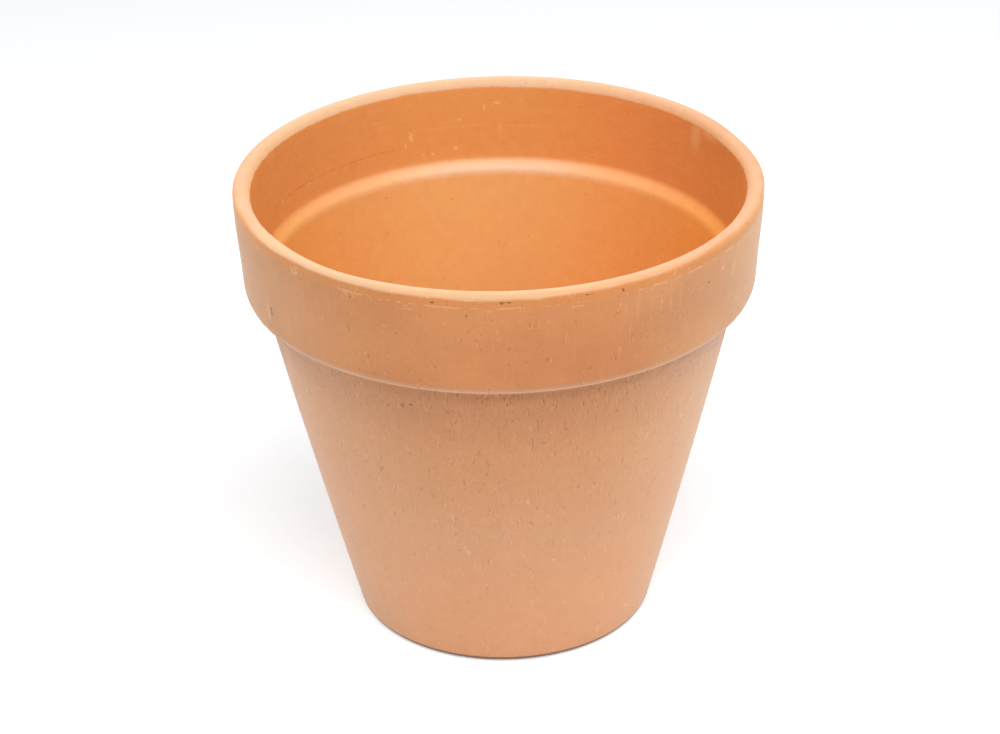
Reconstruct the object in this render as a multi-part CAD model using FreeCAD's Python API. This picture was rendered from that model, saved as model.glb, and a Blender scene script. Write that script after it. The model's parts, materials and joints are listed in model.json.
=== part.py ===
import FreeCAD, Part
import math
import os

# Terracotta flower pot of the standard pressed pattern, 200 mm across its rim.
# Millimetres, +Z up. The origin is at the centre of the base, on the surface that
# the pot stands on. The pot is one piece of fired clay, so this file makes one
# solid: the section of its wall, spun about the upright axis, with its edges
# rounded as the press tools leave them.

# Outside
HEIGHT = 179.6                 # base to lip
COLLAR_UPPER_RADIUS = 100.11   # collar's side carried up to the lip, which rounds it to 100
COLLAR_LOWER_RADIUS = 97.3     # collar's side carried down to its underside
COLLAR_UNDERSIDE = 137.3       # height of the face under the collar
NECK_RADIUS = 90.8             # body where it goes in under the collar
BASE_RADIUS = 57.5             # body's side carried down to the base
SIDE_BOW = 0.6                 # how far the body's side bows out of a straight cone

# Inside
MOUTH_RADIUS = 93.7            # collar's inner face carried up to the lip
COLLAR_FOOT_RADIUS = 90.2      # collar's inner face where it meets the ledge
LEDGE_UPPER = 146.8            # height of the ledge's upper edge
LEDGE_LOWER = 143.6            # height of the ledge's lower edge
LEDGE_LOWER_RADIUS = 87.1      # inner wall where the ledge ends
FLOOR_RADIUS = 53.0            # inner wall carried down to the floor
FLOOR_THICKNESS = 8.0

# Underside and drain hole
FOOT_RING_RADIUS = 44.0        # inside of the ring that the pot stands on
UNDERSIDE_HOLLOW = 1.5         # how far the middle of the underside is raised
DRAIN_RADIUS = 11.0

# Rounding radii
LIP_OUTER_ROUND = 1.6
LIP_INNER_ROUND = 3.6
COLLAR_CORNER_ROUND = 5.3
NECK_ROUND = 1.0
FOOT_ROUND = 3.0
LEDGE_HOLLOW_ROUND = 3.0
LEDGE_SHOULDER_ROUND = 3.5
FLOOR_CORNER_ROUND = 7.0
FOOT_RING_ROUND = 1.0
DRAIN_EDGE_ROUND = 1.2

EDGE_MATCH = 0.01              # how near an edge must be to the corner it is found by


def at(radius, height):
    """A point of the wall's section: distance from the axis, height above the base."""
    return FreeCAD.Vector(radius, 0, height)


def bowed_side(low, high, bow):
    """The arc from low to high that stands outside the straight line by bow."""
    run = high - low
    outward = FreeCAD.Vector(run.z, 0, -run.x).normalize()
    middle = (low + high) * 0.5 + outward * bow
    return Part.Arc(low, middle, high).toShape()


def straight_run(points):
    """The straight edges from each point to the next."""
    return [Part.makeLine(start, end) for start, end in zip(points, points[1:])]


def wall_section():
    """Half of the pot's wall, as a closed face in the XZ plane."""
    base_corner = at(BASE_RADIUS, 0)
    neck = at(NECK_RADIUS, COLLAR_UNDERSIDE)
    over_the_lip_and_back = [
        neck,
        at(COLLAR_LOWER_RADIUS, COLLAR_UNDERSIDE),
        at(COLLAR_UPPER_RADIUS, HEIGHT),
        at(MOUTH_RADIUS, HEIGHT),
        at(COLLAR_FOOT_RADIUS, LEDGE_UPPER),
        at(LEDGE_LOWER_RADIUS, LEDGE_LOWER),
        at(FLOOR_RADIUS, FLOOR_THICKNESS),
        at(DRAIN_RADIUS, FLOOR_THICKNESS),
        at(DRAIN_RADIUS, UNDERSIDE_HOLLOW),
        at(FOOT_RING_RADIUS, UNDERSIDE_HOLLOW),
        at(FOOT_RING_RADIUS, 0),
        base_corner,
    ]
    outline = [bowed_side(base_corner, neck, SIDE_BOW)]
    outline += straight_run(over_the_lip_and_back)
    return Part.Face(Part.Wire(outline))


def spun(section):
    """The section turned a full circle about the upright axis."""
    axis_point = FreeCAD.Vector(0, 0, 0)
    up = FreeCAD.Vector(0, 0, 1)
    return section.revolve(axis_point, up, 360)


def round_edge(solid, radius, height, round_radius):
    """Round the circular edge that goes through the given corner of the section."""
    corner = Part.Vertex(at(radius, height))
    edges = [
        edge
        for edge in solid.Edges
        if edge.Curve.TypeId == "Part::GeomCircle"
        and abs(edge.Curve.Center.z - height) < EDGE_MATCH
        and edge.distToShape(corner)[0] < EDGE_MATCH
    ]
    return solid.makeFillet(round_radius, edges)


def make_pot():
    """The whole pot: the spun wall with its edges rounded."""
    rounds = [
        (COLLAR_UPPER_RADIUS, HEIGHT, LIP_OUTER_ROUND),
        (MOUTH_RADIUS, HEIGHT, LIP_INNER_ROUND),
        (COLLAR_LOWER_RADIUS, COLLAR_UNDERSIDE, COLLAR_CORNER_ROUND),
        (NECK_RADIUS, COLLAR_UNDERSIDE, NECK_ROUND),
        (BASE_RADIUS, 0, FOOT_ROUND),
        (FOOT_RING_RADIUS, 0, FOOT_RING_ROUND),
        (COLLAR_FOOT_RADIUS, LEDGE_UPPER, LEDGE_HOLLOW_ROUND),
        (LEDGE_LOWER_RADIUS, LEDGE_LOWER, LEDGE_SHOULDER_ROUND),
        (FLOOR_RADIUS, FLOOR_THICKNESS, FLOOR_CORNER_ROUND),
        (DRAIN_RADIUS, FLOOR_THICKNESS, DRAIN_EDGE_ROUND),
        (DRAIN_RADIUS, UNDERSIDE_HOLLOW, DRAIN_EDGE_ROUND),
    ]
    pot = spun(wall_section())
    for radius, height, round_radius in rounds:
        pot = round_edge(pot, radius, height, round_radius)
    return pot


def report(name, solid):
    """Print the size, volume and soundness of a finished solid."""
    box = solid.optimalBoundingBox(True, False)
    size = f"{box.XLength:.2f} x {box.YLength:.2f} x {box.ZLength:.2f} mm"
    litres = solid.Volume / 1e6
    print(f"{name}: {size}, {litres:.3f} l of clay, valid {solid.isValid()}, {len(solid.Solids)} solid")


os.makedirs("parts", exist_ok=True)
pot = make_pot()
pot.exportStep("parts/pot.step")
report("pot", pot)
wall_slope = math.degrees(math.atan2(NECK_RADIUS - BASE_RADIUS, COLLAR_UNDERSIDE))
print(f"body leans out by {wall_slope:.1f} degrees")
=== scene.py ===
import json
import math

import bmesh
import bpy
from mathutils import Matrix, Vector, noise


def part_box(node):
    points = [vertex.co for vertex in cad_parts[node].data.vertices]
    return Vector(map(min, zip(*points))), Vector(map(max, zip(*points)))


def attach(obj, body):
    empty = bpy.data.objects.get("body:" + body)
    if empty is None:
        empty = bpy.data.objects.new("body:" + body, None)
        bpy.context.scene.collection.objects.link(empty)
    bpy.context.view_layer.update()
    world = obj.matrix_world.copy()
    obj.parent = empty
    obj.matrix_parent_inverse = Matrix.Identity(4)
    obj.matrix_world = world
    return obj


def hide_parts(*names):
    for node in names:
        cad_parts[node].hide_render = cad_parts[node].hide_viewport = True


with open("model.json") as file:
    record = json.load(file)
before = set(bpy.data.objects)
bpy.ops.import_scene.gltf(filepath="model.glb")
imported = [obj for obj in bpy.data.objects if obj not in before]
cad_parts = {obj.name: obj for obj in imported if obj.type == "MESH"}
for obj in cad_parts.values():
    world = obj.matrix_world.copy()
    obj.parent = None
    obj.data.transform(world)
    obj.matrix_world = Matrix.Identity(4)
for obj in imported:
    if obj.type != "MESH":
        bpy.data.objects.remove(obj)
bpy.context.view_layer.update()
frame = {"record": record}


# ---------------------------------------------------------------------------
# The pot. One wall of red clay, squeezed between a plaster mould and a turning
# press tool, so inside and outside are both spun shapes: a sponged lip, a deep
# collar, a tapering body, and a sloping ledge inside behind the collar.
# ---------------------------------------------------------------------------
MM = 0.001
mounts = {mount["name"]: mount for mount in frame["record"]["mounts"]}
rim_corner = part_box("pot")[1]
height = rim_corner.z
rim_radius = rim_corner.x
collar_underside = mounts["collar_seat"]["pos_m"][2]
drain_radius = mounts["drain_hole"]["dims"]["r_mm"] * MM

# Corners of the wall's section, out over the lip, down the inside and back along
# the underside: radius, height, and the radius that rounds the corner.
collar_lower_radius = 97.3 * MM
collar_upper_radius = rim_radius + 0.11 * MM
collar_corner_round = 5.3 * MM
mouth_radius = 93.7 * MM
ledge_upper = 146.8 * MM
ledge_lower = 143.6 * MM
floor_top = 8.0 * MM
underside = 1.5 * MM
corners = [
    (57.5 * MM, 0.0, 3.0 * MM),  # foot
    (90.8 * MM, collar_underside, 1.0 * MM),  # neck, where the body goes in under the collar
    (collar_lower_radius, collar_underside, collar_corner_round),
    (collar_upper_radius, height, 1.6 * MM),  # lip, outside
    (mouth_radius, height, 3.6 * MM),  # lip, inside
    (90.2 * MM, ledge_upper, 3.0 * MM),
    (87.1 * MM, ledge_lower, 3.5 * MM),
    (53.0 * MM, floor_top, 7.0 * MM),
    (drain_radius, floor_top, 1.2 * MM),
    (drain_radius, underside, 1.2 * MM),
    (44.0 * MM, underside, 0.4 * MM),  # foot ring, inside
    (44.0 * MM, 0.0, 1.0 * MM),
]
wall_gap = 2.5 * MM
flat_gap = 5.0 * MM
corner_gap = 0.6 * MM
turns = 330

clay = bmesh.new()
points = [clay.verts.new((radius, 0, z)) for radius, z, _ in corners]
for start, end in zip(points, points[1:] + points[:1]):
    clay.edges.new((start, end))
for corner, (_, _, rounding) in zip(points, corners):
    runs = [(edge.other_vert(corner).co - corner.co).normalized() for edge in corner.link_edges]
    turn = math.pi - runs[0].angle(runs[1])
    bmesh.ops.bevel(
        clay,
        geom=[corner],
        offset=rounding * math.tan(turn / 2),
        segments=max(3, round(rounding * turn / corner_gap)),
        profile=0.5,
        affect="VERTICES",
        material=-1,
    )
for edge in list(clay.edges):
    level = abs(edge.verts[0].co.z - edge.verts[1].co.z) < 0.1 * MM
    cuts = math.ceil(edge.calc_length() / (flat_gap if level else wall_gap)) - 1
    if cuts > 0:
        bmesh.ops.subdivide_edges(clay, edges=[edge], cuts=cuts)

# The flash that the press leaves runs round the middle of the collar's lower
# corner. The lip is sponged down to a line just below it. Both get closer rings.
flash_turn = math.radians(-40)
slope = (collar_upper_radius - collar_lower_radius) / (height - collar_underside)
flash_centre = Vector((
    collar_lower_radius + slope * collar_corner_round - collar_corner_round * math.hypot(1, slope),
    collar_underside + collar_corner_round,
))
flash = flash_centre + collar_corner_round * Vector((math.cos(flash_turn), math.sin(flash_turn)))
sponge_line = 174.6 * MM
sponged = Vector((collar_lower_radius + slope * (sponge_line - collar_underside), sponge_line))


def middle_of(edge):
    """The radius and height of an edge's middle."""
    return (edge.verts[0].co + edge.verts[1].co).xz / 2


extra_rings = 3
for line, reach in [(flash, 0.5 * MM), (sponged, 1.4 * MM)]:
    near = [edge for edge in clay.edges if (middle_of(edge) - line).length < reach]
    bmesh.ops.subdivide_edges(clay, edges=near, cuts=extra_rings)

# The body's side bows out a little between the foot and the collar. Its inside is
# straight, so only points beyond the middle of the wall move.
side_bow = 0.6 * MM
wall_middle_low = 55 * MM
wall_middle_high = 89 * MM
for point in clay.verts:
    share = point.co.z / collar_underside
    wall_middle = wall_middle_low + share * (wall_middle_high - wall_middle_low)
    if 0 < share < 1 and point.co.x > wall_middle:
        point.co.x += 4 * side_bow * share * (1 - share)

bmesh.ops.spin(
    clay,
    geom=clay.verts[:] + clay.edges[:],
    cent=(0, 0, 0),
    axis=(0, 0, 1),
    angle=2 * math.pi,
    steps=turns,
    use_merge=True,
    use_duplicate=False,
)
bmesh.ops.remove_doubles(clay, verts=clay.verts, dist=1e-6)
bmesh.ops.recalc_face_normals(clay, faces=clay.faces)
for face in clay.faces:
    face.smooth = True
clay.normal_update()

# How far each point belongs to the outside, for the finish: 1 outside, 0 inside.
outside = clay.verts.layers.float.new("outside")
for point in clay.verts:
    radial = Vector((point.co.x, point.co.y, 0)).normalized()
    facing = point.normal.dot(radial)
    if point.normal.z < -0.5:
        facing = 1
    point[outside] = min(1, max(0, 0.5 + facing * 2))

# No wall comes out of the mould quite true: the flash is broken here and there,
# sponging takes a little off the lip, the press tool leaves faint rings inside,
# and the lip's inner edge is ragged where the tool tore it. The collar's side
# swells a little. The lip is rubbed, pressed in and low at one place each.
flash_height = 0.3 * MM
flash_width = 0.32 * MM
sponge_depth = 0.06 * MM
ring_depth = 0.05 * MM
ragged_depth = 0.5 * MM
untrue = 0.08 * MM
collar_bow = 0.3 * MM
bow_middle = 167 * MM
bow_reach = 14 * MM
lip_reach = 10 * MM
rubbed_depth = 1.4 * MM
rubbed_angle, rubbed_spread = -128, 13
dent_depth = 0.8 * MM
dent_sink = 0.2 * MM
dent_angle, dent_spread = 20, 12
dip_depth = 0.25 * MM
dip_angle, dip_spread = 115, 40
inner_edge = Vector((mouth_radius, height - 2.5 * MM))
inner_round = Vector((mouth_radius + 2 * MM, height - 1 * MM))


def fading(distance, reach):
    """1 at no distance, fading evenly to 0 at reach."""
    return max(0, 1 - distance / reach)


def near_angle(angle, middle, spread):
    """1 at a middle angle, fading round the pot over a spread, both in degrees."""
    off = math.remainder(angle - math.radians(middle), math.tau) / math.radians(spread)
    return math.exp(-off * off)


for point in clay.verts:
    along = Vector((math.hypot(point.co.x, point.co.y), point.co.z))
    angle = math.atan2(point.co.y, point.co.x)
    outward = Vector((math.cos(angle), math.sin(angle), 0))
    push = untrue * (noise.noise(point.co * 26) - 0.6)
    bead = fading((along - flash).length, flash_width)
    push += flash_height * bead * min(1.2, max(0.3, 0.8 + 0.7 * noise.noise(outward * 19)))
    if point[outside] > 0.5:
        wander = 0.5 * MM * noise.noise(outward * 9)
        push -= sponge_depth * min(1, max(0, (point.co.z - sponge_line - wander) / (0.6 * MM)))
    elif point.normal.z < 0.5:
        push += ring_depth * noise.noise(Vector((point.co.z * 420, angle * 0.6, 3)))
    point.co += point.normal * push
    torn = max(0, noise.noise(outward * 46) + 0.4 * noise.noise(outward * 5) - 0.12)
    point.co += outward * ragged_depth * fading((along - inner_edge).length, 1.8 * MM) * torn * 2
    rubbed = fading((along - inner_round).length, 5 * MM) * near_angle(angle, rubbed_angle, rubbed_spread)
    lip_share = fading(height - point.co.z, lip_reach)
    dent = lip_share * near_angle(angle, dent_angle, dent_spread)
    dip = lip_share * near_angle(angle, dip_angle, dip_spread)
    bow = fading(abs(point.co.z - bow_middle), bow_reach) * point[outside]
    point.co += outward * (rubbed_depth * rubbed - dent_depth * dent + collar_bow * bow)
    point.co.z -= dent_sink * dent + dip_depth * dip
    point.co.z = min(height, max(0, point.co.z))
clay.normal_update()

pot_mesh = bpy.data.meshes.new("terracotta_pot")
clay.to_mesh(pot_mesh)
clay.free()
pot = bpy.data.objects.new("terracotta_pot", pot_mesh)
bpy.context.scene.collection.objects.link(pot)


class Value:
    """A value or colour in a finish. Sums written with it become Math nodes."""

    def __init__(self, finish, socket):
        self.finish = finish
        self.socket = socket

    def _maths(self, operation, first, second):
        return self.finish.node("ShaderNodeMath", {"operation": operation}, {0: first, 1: second})

    def __add__(self, other):
        return self._maths("ADD", self, other)

    def __radd__(self, other):
        return self._maths("ADD", other, self)

    def __sub__(self, other):
        return self._maths("SUBTRACT", self, other)

    def __rsub__(self, other):
        return self._maths("SUBTRACT", other, self)

    def __mul__(self, other):
        return self._maths("MULTIPLY", self, other)

    def __rmul__(self, other):
        return self._maths("MULTIPLY", other, self)

    def __abs__(self):
        return self._maths("ABSOLUTE", self, 0)

    def __or__(self, other):
        return self._maths("MAXIMUM", self, other)

    def __and__(self, other):
        return self._maths("MINIMUM", self, other)


class Finish:
    """The nodes that a surface, or the room round it, is worked out by."""

    def __init__(self, owner):
        owner.use_nodes = True
        self.tree = owner.node_tree
        self.tree.nodes.clear()

    def node(self, kind, settings, values, output=0):
        """Add a node: its settings, then its sockets' values or links. Gives one output."""
        added = self.tree.nodes.new(kind)
        for name, setting in settings.items():
            setattr(added, name, setting)
        for name, value in values.items():
            if isinstance(value, Value):
                self.tree.links.new(value.socket, added.inputs[name])
            else:
                added.inputs[name].default_value = value
        return Value(self, added.outputs[output]) if added.outputs else None

    def rise(self, value, start, end):
        """0 where value is at start, 1 at end, smooth between."""
        values = {"Value": value, "From Min": start, "From Max": end}
        return self.node("ShaderNodeMapRange", {"interpolation_type": "SMOOTHSTEP"}, values)

    def blend(self, share, first, second):
        """The colour that goes from first to second as share goes from 0 to 1."""
        return self.node("ShaderNodeMix", {"data_type": "RGBA"}, {0: share, 6: first, 7: second}, output=2)

    def vector(self, operation, first, second=(0, 0, 0), output=0):
        """Sums on two vectors or colours."""
        return self.node("ShaderNodeVectorMath", {"operation": operation}, {0: first, 1: second}, output)

    def noise(self, place, scale, detail=2.0, roughness=0.5):
        """A cloudy pattern between 0 and 1, with scale clouds to the metre."""
        values = {"Vector": place, "Scale": scale, "Detail": detail, "Roughness": roughness}
        return self.node("ShaderNodeTexNoise", {}, values)

    def cells(self, place, scale):
        """How far to the nearest of many scattered dots, and a random value for each dot."""
        values = {"Vector": place, "Scale": scale}
        far = self.node("ShaderNodeTexVoronoi", {}, values)
        tint = self.node("ShaderNodeTexVoronoi", {}, values, output="Color")
        random = self.node("ShaderNodeSeparateColor", {}, {"Color": tint})
        return far, random


# The finish starts from where a point is: its distance from the axis, its height, how
# far it is to the back and to the right, and whether it is outside or inside.
fired_clay = bpy.data.materials.new("fired_terracotta")
fired = Finish(fired_clay)
place = fired.node("ShaderNodeTexCoord", {}, {}, output="Object")
flat_place = fired.vector("MULTIPLY", place, (1, 1, 0))
radius = fired.vector("LENGTH", flat_place, output="Value")
round_place = fired.vector("NORMALIZE", flat_place)
to_back = fired.vector("DOT_PRODUCT", round_place, (-0.11, 0.99, 0), output="Value")
to_side = fired.node("ShaderNodeSeparateXYZ", {}, {"Vector": round_place}, output="X")
up = fired.node("ShaderNodeSeparateXYZ", {}, {"Vector": place}, output="Z")
outer = fired.node("ShaderNodeAttribute", {"attribute_name": "outside"}, {}, output="Fac")
inner = 1 - outer
pattern_radius = 0.085


def wrapped(around, along):
    """A point's place round the wall and up it, in metres, each stretched by its share.

    Part of the radius counts as height, so that patterns cross level faces too.
    """
    size = pattern_radius * around
    ring = fired.vector("MULTIPLY", round_place, (size, size, 0))
    run = fired.node("ShaderNodeCombineXYZ", {}, {"Z": (up + radius * 0.2) * along})
    return fired.vector("ADD", ring, run)


def band(level, half, soft):
    """1 within half of a height, fading out over soft above and below."""
    return fired.rise(abs(up - level), half + soft, half)


# The parts of the wall. The lip's edge wanders, and comes lower at each side.
above_collar_foot = fired.rise(up, collar_underside - 0.3 * MM, collar_underside + 0.3 * MM)
body = (1 - above_collar_foot) * outer
collar = above_collar_foot * outer
inner_collar = fired.rise(up, ledge_upper - 1 * MM, ledge_upper + 2 * MM) * inner
ledge = band(144.3 * MM, 0.2 * MM, 3.8 * MM) * inner
edge_wander = (fired.noise(wrapped(1, 0), 70, 3, 0.6) - 0.5) * 1.8 * MM
right_drop = fired.rise(to_side, 0, 0.35) * 0.7 * MM + fired.rise(to_side, 0.62, 0.85) * 0.9 * MM
left_drop = fired.rise(to_side, -0.3, -0.8) * 0.8 * MM + fired.rise(to_side, -0.8, -0.98) * 0.7 * MM
lip_drop = right_drop + left_drop
lip_outside = fired.rise(up + edge_wander - lip_drop, height - 2.5 * MM, height - 1.3 * MM) * outer
lip_inside = fired.rise(up + edge_wander, height - 3.1 * MM, height - 2.3 * MM) * inner
lip = lip_outside + lip_inside
sponged_wander = (fired.noise(wrapped(1, 0), 110) - 0.5) * 1.2 * MM
sponged_share = fired.rise(up + sponged_wander, sponge_line - 0.3 * MM, sponge_line + 0.5 * MM) * outer
thick = fired.rise(up, 95 * MM, collar_underside) * body
crowded = fired.rise(up, 118 * MM, 133 * MM) * body

# The clay's colours, the patterns in it, and the colour of each part of the wall.
clay_deep = (0.68, 0.265, 0.086, 1)
clay_orange = (0.76, 0.33, 0.117, 1)
clay_pink = (0.81, 0.425, 0.212, 1)
clay_flame = (0.75, 0.245, 0.042, 1)
clay_gold = (0.79, 0.335, 0.073, 1)
clay_pale = (0.80, 0.53, 0.31, 1)
clay_lip = (0.79, 0.52, 0.30, 1)
clay_lip_side = (0.77, 0.43, 0.24, 1)
clay_bloom = (0.86, 0.56, 0.36, 1)
clay_flash_and_highlight = (0.93, 0.60, 0.37, 1)
clay_sponged = (0.78, 0.31, 0.068, 1)

clouds = fired.noise(place, 24, 4, 0.55)
mottle = fired.noise(place, 230, 5, 0.6)
grain = fired.noise(place, 1100, 3, 0.6)
tooth = fired.noise(wrapped(1.0, 0.35), 1500, 2, 0.6)
turning = fired.noise(wrapped(0.10, 1.0), 800, 3, 0.6)
streaks = fired.noise(wrapped(1.0, 0.07), 480, 3, 0.55)

colour = fired.blend(fired.rise(clouds, 0.3, 0.7), clay_deep, clay_orange)
colour = fired.blend(body * (0.8 + 0.25 * clouds), colour, clay_pink)
colour = fired.blend(inner * (0.75 + 0.2 * clouds), colour, clay_gold)
colour = fired.blend(inner_collar * 0.8, colour, clay_flame)
# The ledge's pale band is partly bloom and partly painted highlight where it faces up.
colour = fired.blend(ledge * 0.75, colour, clay_pale)
colour = fired.blend(sponged_share * 0.6, colour, clay_sponged)

# The wall isn't one colour all round: inside, it is pale at the back and deeper to
# each side. Outside, it is deeper at the front under the lip, warmer low down, and
# paler round each side of the collar. These tints are fitted to look right from the
# front, and much of them is painted light: painted shade on the inner sides, under the
# collar and in the thin dark line at the foot, and painted sheen on the pale sides, so
# other light may need them weaker.
plain = (1, 1, 1, 1)


def tinted(colour, share, tint):
    """The colour, multiplied by a tint as far as share says."""
    return fired.vector("MULTIPLY", colour, fired.blend(share, plain, tint))


# Painted light and shade: the inside is paler at the back, which faces the lamps, and deeper to each side.
back_share = (to_back | 0) * (to_back | 0)
colour = tinted(colour, inner, fired.blend(back_share, (0.87, 0.72, 0.32, 1), (1.08, 1.28, 1.55, 1)))
dim_side = inner_collar * (1 - back_share) * (1 - back_share)
left_inside = fired.rise(to_side, -0.3, -0.8) * inner * (1 - inner_collar)
right_inside = fired.rise(to_side, 0.05, 0.6) * inner
ledge_side = fired.rise(abs(to_side), 0.15, 0.6) * ledge
# Painted light and shade inside: on the inner collar's sides, on the left and the right, and at the
# ledge's ends, which are deeper where less highlight falls.
for share, tint in [
    (dim_side, (0.98, 1.06, 1.8, 1)),
    (left_inside, (1, 0.94, 0.91, 1)),
    (right_inside, (1.08, 0.99, 0.94, 1)),
    (ledge_side, (1.08, 0.95, 0.68, 1)),
]:
    colour = tinted(colour, share, tint)

# The lip's pale colour is partly bloom and rubbing, and partly painted highlight on its upward face.
lip_colour = fired.blend(fired.rise(abs(to_side + 0.25), 0.35, 1.15), clay_lip, clay_lip_side)
colour = fired.blend(lip * 0.9, colour, lip_colour)
lip_margin = lip_inside * fired.rise(up, height - 0.2 * MM, height - 1.4 * MM) * (1 - back_share)
# Painted highlight on the lip's outer rounding.
arris_highlight = band(height - 1.3 * MM, 0.35 * MM, 0.8 * MM) * outer
# Painted sheen: the outside is deeper at the front and paler towards each side, where it turns away.
front_rise = fired.rise(to_back, -0.6, -1.0) * fired.rise(up, 50 * MM, 125 * MM)
front_share = front_rise * (0.7 + 0.3 * body) * outer
front_tint = fired.blend(front_share, (1, 1.02, 1.04, 1), (0.95, 0.855, 0.69, 1))
colour = fired.vector("MULTIPLY", colour, front_tint)
low_front = fired.rise(to_back, -0.4, -0.9) * fired.rise(up, 70 * MM, 25 * MM) * body
side_share = fired.rise(abs(to_side + 0.08), 0.40, 0.97)
collar_side = side_share * collar * (1 - sponged_share)
soft_shade = fired.rise(up, 104 * MM, 120 * MM) * fired.rise(up, 130 * MM, 124 * MM)
soft_shade = soft_shade * fired.rise(abs(to_side), 0.85, 0.6) * body
pink_side = fired.rise(abs(to_side), 0.75, 1) * fired.rise(up, 85 * MM, 115 * MM) * body
under_collar = fired.rise(up, 127 * MM, 135 * MM) * body
left_front = fired.rise(to_side, -0.15, -0.5) * fired.rise(to_side, -0.95, -0.75)
left_front = left_front * fired.rise(up, 60 * MM, 110 * MM) * outer * (1 - lip) * (1 - under_collar)
right_body = fired.rise(to_side, 0.35, 0.7) * fired.rise(up, 60 * MM, 100 * MM) * body
collar_corner = fired.rise(up, 144 * MM, 140.5 * MM) * collar
far_right = fired.rise(to_side, 0.7, 0.9) * inner * (1 - inner_collar)
right_band = fired.rise(to_side, 0.55, 0.85) * sponged_share * (1 - lip)
# Painted shade: a thin dark line at the foot, where the pot meets the table.
painted_foot_shade = fired.rise(up, 2.7 * MM, 1.9 * MM) * fired.rise(radius, 54 * MM, 55.5 * MM) * outer
for share, tint in [
    (lip * back_share, (1.01, 1.04, 1.10, 1)),
    (lip_margin, (1, 0.96, 0.78, 1)),
    # painted highlight on the lip's outer rounding
    (arris_highlight, (1.05, 1.10, 1.18, 1)),
    (low_front, (1.05, 1.01, 0.96, 1)),
    # painted sheen: the collar paler and bluer towards each side
    (collar_side, (0.94, 1.12, 1.39, 1)),
    # painted light: the shade under the collar lifted at each side
    (side_share * crowded, (1.04, 1.10, 1.30, 1)),
    # painted shade: a soft shadow below the collar at the front
    (soft_shade, (0.95, 0.93, 0.93, 1)),
    # painted sheen: the body paler at each side
    (pink_side, (1, 1.05, 1.13, 1)),
    # painted light: the shade just under the collar lifted
    (under_collar, (1.03, 1.08, 1.12, 1)),
    # painted shade: the front left of the wall darker
    (left_front, (0.95, 0.94, 0.93, 1)),
    # painted light: the right of the body lighter
    (right_body, (1, 1.035, 1.07, 1)),
    (collar_corner, (1.02, 1.04, 1.08, 1)),
    # painted light: the far right of the inside lighter
    (far_right, (1.06, 1.05, 1.05, 1)),
    # painted shade: the sponged band darker on the right
    (right_band, (0.91, 0.91, 0.91, 1)),
    # painted shade at the foot
    (painted_foot_shade, (0.24, 0.18, 0.13, 1)),
]:
    colour = tinted(colour, share, tint)

# Dry dust lies in the grain, in the rings left by turning and in upright streaks, and
# the whole wall is mottled.
colour = fired.blend((grain - 0.5) * 0.3 + 0.05, colour, clay_bloom)
colour = fired.blend(fired.rise(turning, 0.5, 0.75) * (inner * 0.08 + collar * 0.04), colour, clay_bloom)
colour = fired.blend(fired.rise(streaks, 0.5, 0.75) * (collar * 0.05 + body * 0.1), colour, clay_bloom)
scuffed = fired.rise(to_side, -0.6, -0.2) * fired.rise(up - to_side * 25 * MM, 40 * MM, 75 * MM) * body
mottling = (mottle - 0.5) * (0.12 + body * 0.2 + inner * 0.30)
mottling = mottling + (tooth - 0.5) * (body * 0.15 + scuffed * 0.5 + crowded * 0.4)
tone = fired.blend(0.5 + mottling, (0.86, 0.78, 0.70, 1), (1.14, 1.22, 1.30, 1))
colour = fired.vector("MULTIPLY", colour, tone)

# Thin edges dry first and fire paler: the flash, and the line the sponge stopped at.
# The wider pale band beside the flash is partly painted highlight, where the collar's
# lower corner turns down towards the white table.
flash_far = fired.vector(
    "LENGTH",
    fired.node("ShaderNodeCombineXYZ", {}, {"X": radius - flash.x, "Y": up - flash.y}),
    output="Value",
)
bare_flash = fired.rise(flash_far, 1.2 * MM, 0.3 * MM)
pale_beside = fired.rise(flash_far, 3.0 * MM, 0.2 * MM)
line_breaks = fired.rise(fired.noise(wrapped(1, 0), 160, 3, 0.7), 0.48, 0.62)
sponge_mark = fired.rise(abs(up + sponged_wander - sponge_line), 0.45 * MM, 0.1 * MM)
sponge_mark = sponge_mark * line_breaks * outer
colour = fired.blend(bare_flash * 0.75 | pale_beside * 0.5 | sponge_mark * 0.4, colour, clay_flash_and_highlight)

# Handling has left dark knocks, pale rubs, chips with a pale edge and dusty smears
# outside. Inside there is dust, and one side of the mouth is rubbed pale.
wall_radius = 0.09
wall_place = fired.vector(
    "ADD",
    fired.vector("MULTIPLY", round_place, (wall_radius, wall_radius, 0)),
    fired.node("ShaderNodeCombineXYZ", {}, {"Z": up}),
)
ragged_edge = (grain - 0.5) * 5


def how_far(places, ragged=1):
    """0 at the middle of the nearest place and 1 at its edge. A place is its angle in
    degrees, then its height, width and length in millimetres.
    """
    nearest = None
    for angle, level, wide, tall in places:
        turn = math.radians(angle)
        stretch = Vector((2 / wide, 2 / wide, 2 / tall)) / MM
        centre = Vector((wall_radius * math.cos(turn), wall_radius * math.sin(turn), level * MM))
        values = {0: wall_place, 1: stretch, 2: -centre * stretch}
        offset = fired.node("ShaderNodeVectorMath", {"operation": "MULTIPLY_ADD"}, values)
        far = fired.vector("LENGTH", offset, output="Value")
        nearest = far if nearest is None else nearest & far
    return nearest + ragged_edge * ragged


def spots(places):
    """1 on each place, 0 off it."""
    return fired.rise(how_far(places), 1.1, 0.5)


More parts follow.
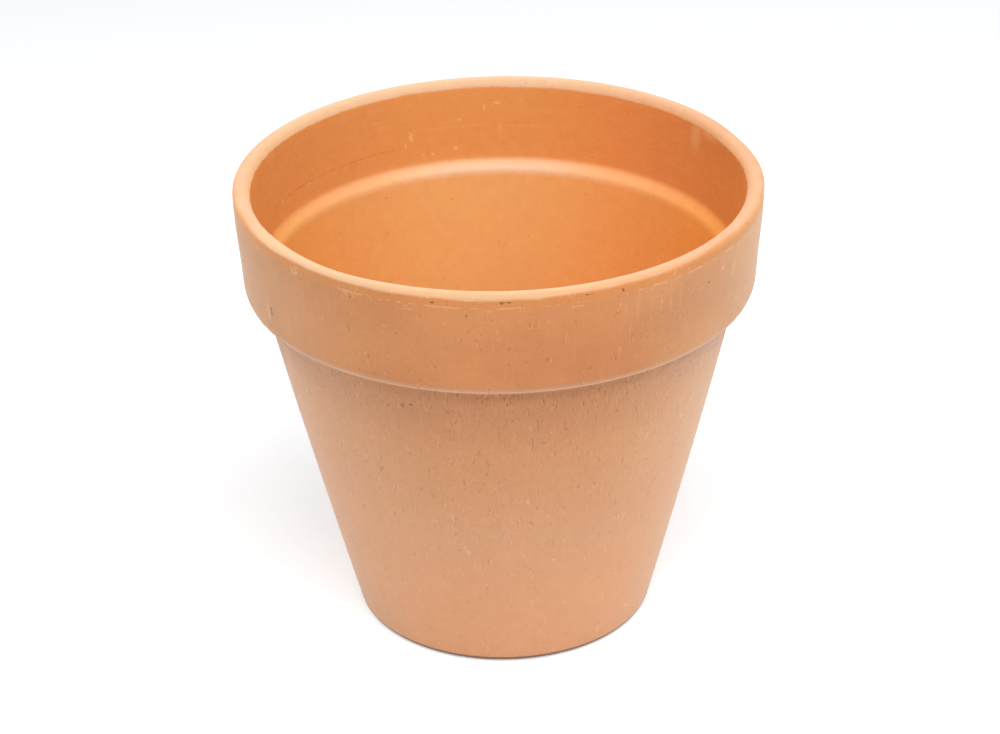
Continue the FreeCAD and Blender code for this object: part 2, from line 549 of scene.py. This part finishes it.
knocks = outer * spots([
    (-103.9, 176.1, 1.3, 1.0),
    (-89.7, 176.7, 1.4, 1.0),
    (-88.1, 176.9, 2.2, 0.8),
    (-71.8, 177.1, 2.2, 0.5),
    (-64.4, 176.1, 0.9, 1.3),
    (-65.4, 174.2, 1.0, 0.9),
    (-96.9, 171.6, 0.5, 1.3),
    (-40.9, 166.1, 1.3, 0.9),
    (-148.7, 150.1, 0.9, 4.5),
    (-114.1, 126.3, 1.0, 1.3),
    (-111.7, 127.6, 1.7, 0.8),
    (-122.1, 172.6, 1.6, 0.6),
])
rubs = outer * spots([
    (-106.1, 177.5, 2.0, 0.7),
    (-104.5, 177.7, 1.7, 0.8),
    (-96.6, 177.6, 3.2, 0.7),
    (-82.2, 177.5, 2.6, 0.6),
    (-136.8, 176.3, 2.3, 1.0),
    (-115.0, 174.3, 2.4, 0.9),
    (-117.2, 173.3, 1.2, 1.5),
    (-108.6, 172.4, 4.0, 0.9),
    (-109.4, 173.6, 2.0, 0.7),
    (-107.3, 169.0, 0.7, 1.6),
    (-92.4, 173.5, 3.0, 0.5),
    (-74.6, 173.1, 4.5, 0.6),
    (-101.5, 167.9, 1.3, 0.7),
    (-54.4, 174.5, 1.8, 1.0),
    (-36.0, 168.7, 2.0, 3.0),
    (-100.9, 57.7, 2.2, 2.6),
    (-101.9, 59.9, 1.4, 1.3),
    (-131.9, 25.2, 1.2, 1.2),
    (-39.4, 13.0, 2.4, 1.8),
])
chips = outer * fired.rise(abs(how_far([
    (-137.6, 174.4, 2.4, 2.2),
    (-122.5, 173.5, 3.2, 1.7),
    (-150.3, 148.9, 2.2, 4.5),
]) - 0.9), 0.35, 0.1)
smears = outer * spots([
    (-63.6, 167.7, 1.2, 9),
    (-60.7, 167.5, 1.8, 14),
    (-62.3, 158.0, 1.2, 12),
    (-52.4, 165.0, 1.3, 10),
    (-49.7, 165.0, 1.3, 12),
    (-31.0, 166.0, 2.0, 9),
])
dust = inner * spots([
    (112.4, 159.2, 1.7, 4.0),
    (114.0, 155.7, 1.0, 1.2),
    (109.3, 151.1, 0.8, 2.0),
    (106.8, 150.6, 1.1, 1.2),
    (100.8, 151.9, 1.7, 1.6),
    (99.6, 164.1, 1.5, 1.2),
    (93.2, 168.5, 0.9, 3.0),
    (89.8, 170.2, 3.0, 1.2),
    (157.5, 154.7, 0.8, 2.0),
    (145.3, 154.5, 2.2, 0.9),
])
faint_dust = inner * spots([
    (89.4, 159.5, 2.4, 7.0),
    (102.0, 161.2, 22.0, 0.6),
    (82.5, 160.7, 16.0, 0.6),
])
smudge = how_far([(33.3, 173.0, 8.0, 16.0), (28.0, 176.0, 14.0, 5.0)], 0.25)
rubbed_mouth = fired.rise(smudge, 1.3, 0.2) * inner * (1 - lip)
pale_marks = rubs * 0.6 | chips * 0.9 | smears * 0.25
inside_marks = dust * 0.8 | faint_dust * 0.25 | rubbed_mouth * 0.65

# Drag marks: grit pulled down the mould has left short upright scores and hair lines.
# Their dark lines are partly painted shade in the grooves, and a painted highlight runs
# beside each on one side. They crowd under the collar and thin out towards the foot.
# Burnt-out grit left pits, and crumbs of lime show as pale flecks.
drawn_place = wrapped(1.0, 0.24)
score_pattern = (1250, 1.5, 0.6)
score_level = (0.725, 0.79)
score_field = fired.noise(drawn_place, *score_pattern)
more_scores = thick * 0.05 + crowded * 0.03 + up * 0.25
scores = fired.rise(score_field + more_scores, *score_level) * body
inner_scores = fired.rise(score_field, 0.69, 0.77) * inner * (1 - inner_collar)
highlight_shift = 0.4 * MM
highlight_side = fired.vector("CROSS_PRODUCT", (0, 0, highlight_shift), round_place)
highlight_field = fired.noise(fired.vector("ADD", drawn_place, highlight_side), *score_pattern)
# Painted highlight beside each score, on one side.
score_highlights = fired.rise(highlight_field + more_scores, *score_level) * body * (1 - scores)
hair_field = fired.noise(wrapped(1.0, 0.15), 520, 1, 0.5)
hair_gaps = fired.noise(wrapped(1.0, 0.6), 540, 1, 0.5)
midway = fired.rise(up, 45 * MM, 85 * MM) * body
hairs_here = fired.rise(hair_gaps + midway * 0.03 + crowded * 0.03, 0.61, 0.67) * outer * (1 - lip)
hairs = fired.rise(abs(hair_field - 0.5), 0.032, 0.008) * hairs_here
# Painted highlight beside each hair line, on one side.
hair_highlights = fired.rise(abs(hair_field - 0.55), 0.035, 0.01) * hairs_here
pit_far, pit_random = fired.cells(place, 420)
near_dot = fired.rise(pit_far, 0.2, 0.1)
pits = near_dot * fired.rise(pit_random, 0.94, 0.96)
flecks = near_dot * fired.rise(pit_random, 0.05, 0.03)
tool_line = fired.rise(abs(up - 155 * MM), 0.55 * MM, 0.1 * MM)
tool_line = tool_line * fired.rise(abs(to_side + 0.7), 0.3, 0.2) * inner * (0.3 + 0.7 * line_breaks)
marks = scores * (0.42 + crowded * 0.15) | hairs * (0.32 + midway * 0.05 + crowded * 0.1)
marks = marks | inner_scores * 0.35 | tool_line * 0.27 | pits * 0.4 | knocks
pale_marks = pale_marks | flecks * 0.4 | hair_highlights * 0.5 | score_highlights * 0.5
for share, tint in [
    (marks, (0.58, 0.42, 0.24, 1)),
    (inside_marks, (1.10, 1.55, 2.3, 1)),
    (pale_marks, (1.22, 1.42, 1.75, 1)),
]:
    colour = tinted(colour, share, tint)

# The clay is matt. Outside and on the lip it is dusty as well, which pales it where
# it turns away.
relief = grain * 0.04 - marks * 0.25 + (tooth - 0.5) * (crowded * 0.12 + body * 0.04)
relief = relief + turning * 0.04 * (1 - body) + streaks * 0.03
bump = fired.node("ShaderNodeBump", {}, {"Height": relief, "Distance": MM, "Strength": 1.0})
roughness = 0.62 + 0.12 * grain
clay_face = {"Base Color": colour, "Roughness": roughness, "Normal": bump, "Diffuse Roughness": 0.9}
dusty_face = {**clay_face, "Sheen Weight": 0.30, "Sheen Roughness": 0.4}
dusty = fired.node("ShaderNodeBsdfPrincipled", {}, dusty_face)
clean = fired.node("ShaderNodeBsdfPrincipled", {}, clay_face)
surface = fired.node("ShaderNodeMixShader", {}, {0: inner * (1 - lip), 1: dusty, 2: clean})
fired.node("ShaderNodeOutputMaterial", {}, {"Surface": surface})
pot_mesh.materials.append(fired_clay)

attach(pot, "root")
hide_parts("pot")


# ---------------------------------------------------------------------------
# The white studio table that the pot stands on. It is brighter than the camera
# can show, apart from the soft shadow round the pot's foot.
# ---------------------------------------------------------------------------
table_mesh = bpy.data.meshes.new("studio_table")
table = bmesh.new()
table_reach = 6
bmesh.ops.create_grid(table, x_segments=1, y_segments=1, size=table_reach)
table.to_mesh(table_mesh)
table.free()
studio_table = bpy.data.objects.new("studio_table", table_mesh)
bpy.context.scene.collection.objects.link(studio_table)

white_paint = bpy.data.materials.new("white_table")
white = Finish(white_paint)


def shown(finish):
    """1 where the camera sees a surface, straight or in a reflection, and 0 for its light."""
    rays = [
        finish.node("ShaderNodeLightPath", {}, {}, output=name)
        for name in ("Is Camera Ray", "Is Glossy Ray", "Is Transmission Ray")
    ]
    return rays[0] | rays[1] | rays[2]


matt = white.node("ShaderNodeBsdfDiffuse", {}, {"Color": (0.94, 0.94, 0.94, 1)})
soft = white.node("ShaderNodeBsdfDiffuse", {}, {"Color": (0.85, 0.87, 0.9, 1)})
glow = white.node("ShaderNodeEmission", {}, {"Color": (0.48, 0.48, 0.48, 1), "Strength": 1.0})
pale = white.node("ShaderNodeAddShader", {}, {0: soft, 1: glow})
table_surface = white.node("ShaderNodeMixShader", {}, {0: shown(white), 1: matt, 2: pale})
white.node("ShaderNodeOutputMaterial", {}, {"Surface": table_surface})
table_mesh.materials.append(white_paint)


# ---------------------------------------------------------------------------
# The light: a wide soft lamp overhead and a little in front, a weaker one on
# each side, and a white room all round that gives hardly any light of its own.
# ---------------------------------------------------------------------------
white_room = bpy.data.worlds.new("white_room")
bpy.context.scene.world = white_room
room = Finish(white_room)
room_light = 0.05
room_level = room_light + (1 - room_light) * shown(room)
room_back = room.node("ShaderNodeBackground", {}, {"Color": (1, 1, 1, 1), "Strength": room_level})
room.node("ShaderNodeOutputWorld", {}, {"Surface": room_back})

lamp_width = 1.0
aim = Vector((0, 0, 0.1))


def soft_lamp(name, power, place):
    """A square lamp that points at the pot, with its power in watts."""
    lamp = bpy.data.lights.new(name, "AREA")
    lamp.size = lamp_width
    lamp.energy = power
    lamp_object = bpy.data.objects.new(name, lamp)
    lamp_object.location = place
    lamp_object.rotation_euler = (aim - Vector(place)).to_track_quat("-Z", "Y").to_euler()
    bpy.context.scene.collection.objects.link(lamp_object)


soft_lamp("overhead", 12.4, (0.06, -0.5, 1.1))
soft_lamp("right_side", 6.0, (0.9, -0.3, 1.05))
soft_lamp("left_side", 5.1, (-0.9, -0.3, 1.05))


# ---------------------------------------------------------------------------
# The camera: a long lens about a metre away, looking down into the mouth. It leans
# and turns by a degree or less, as a camera held by hand does.
# ---------------------------------------------------------------------------
camera_distance = 1.0638
camera_height = 0.66349
look_down = math.radians(27.97)
swing = math.radians(0.032)
lean = math.radians(-1.009)
camera = bpy.data.cameras.new("camera")
lens_length = 111.6
film_width = 36
camera.lens = lens_length
camera.sensor_width = film_width
camera_object = bpy.data.objects.new("camera", camera)
tilted = Matrix.Rotation(math.pi / 2 - look_down, 4, "X") @ Matrix.Rotation(lean, 4, "Z")
turned = Matrix.Rotation(swing, 4, "Z") @ tilted
camera_object.matrix_world = Matrix.Translation((0, -camera_distance, camera_height)) @ turned
bpy.context.scene.collection.objects.link(camera_object)
bpy.context.scene.camera = camera_object

bpy.context.scene.view_settings.view_transform = "Standard"
